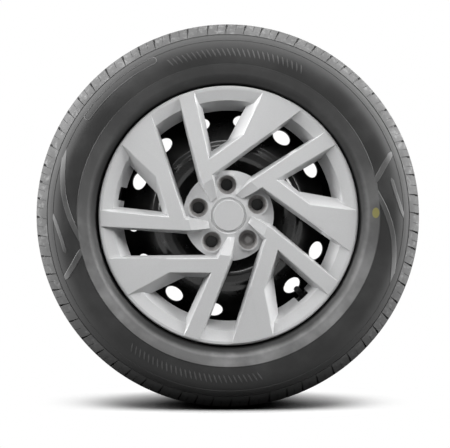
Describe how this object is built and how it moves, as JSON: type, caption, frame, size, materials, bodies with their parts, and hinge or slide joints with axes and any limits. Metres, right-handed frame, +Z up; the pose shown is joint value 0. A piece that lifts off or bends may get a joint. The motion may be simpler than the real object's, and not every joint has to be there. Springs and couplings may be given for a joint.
{
  "type": "car wheel with tyre",
  "caption": "Car wheel: tyre on a black pressed-steel wheel, with a silver moulded cover of forked arms and a snap-in valve with its core and cap.",
  "frame": {"origin": "centre of the wheel: the spin axis at the tyre's middle plane", "axes": "+Y along the spin axis towards the car, the outboard face looks along -Y, +Z up"},
  "size_m": [0.7019, 0.226, 0.7019],
  "materials": {
    "tyre": "matt moulded rubber",
    "wheel_rim": "gloss black paint",
    "wheel_disc": "gloss black paint",
    "wheel_cover": "silver lacquer",
    "cover_retaining_ring": "bright spring wire",
    "valve_stem": "matt black rubber",
    "valve_tube": "plain brass",
    "valve_core": "plain brass",
    "core_seal": "black rubber",
    "valve_pin": "plain steel",
    "pin_seal": "black rubber",
    "valve_spring": "plain steel",
    "valve_cap": "black moulded plastic"
  },
  "bodies": {
    "wheel": {"tyre": "tyre", "wheel_rim": "wheel_rim", "wheel_disc": "wheel_disc", "valve_stem": "valve_stem", "valve_tube": "valve_tube", "valve_core": "valve_core", "core_seal": "core_seal", "valve_spring": "valve_spring"},
    "cover": {"wheel_cover": "wheel_cover", "cover_retaining_ring": "cover_retaining_ring"},
    "cap": {"valve_cap": "valve_cap"},
    "pin": {"valve_pin": "valve_pin", "pin_seal": "pin_seal"}
  },
  "joints": [
    {"name": "cover_pull", "type": "slide", "parent": "wheel", "child": "cover", "axis": [0, -1, 0], "range_m": [0, 0.06]},
    {"name": "cap_unscrew", "type": "slide", "parent": "wheel", "child": "cap", "axis": [-0.4822, -0.7071, 0.5171], "range_m": [0, 0.02]},
    {"name": "pin_press", "type": "slide", "parent": "wheel", "child": "pin", "axis": [0.4822, 0.7071, -0.5171], "range_m": [0, 0.0024], "stiffness_N_per_m": 800, "springref_m": -0.001, "deforming": ["valve_spring"]}
  ]
}
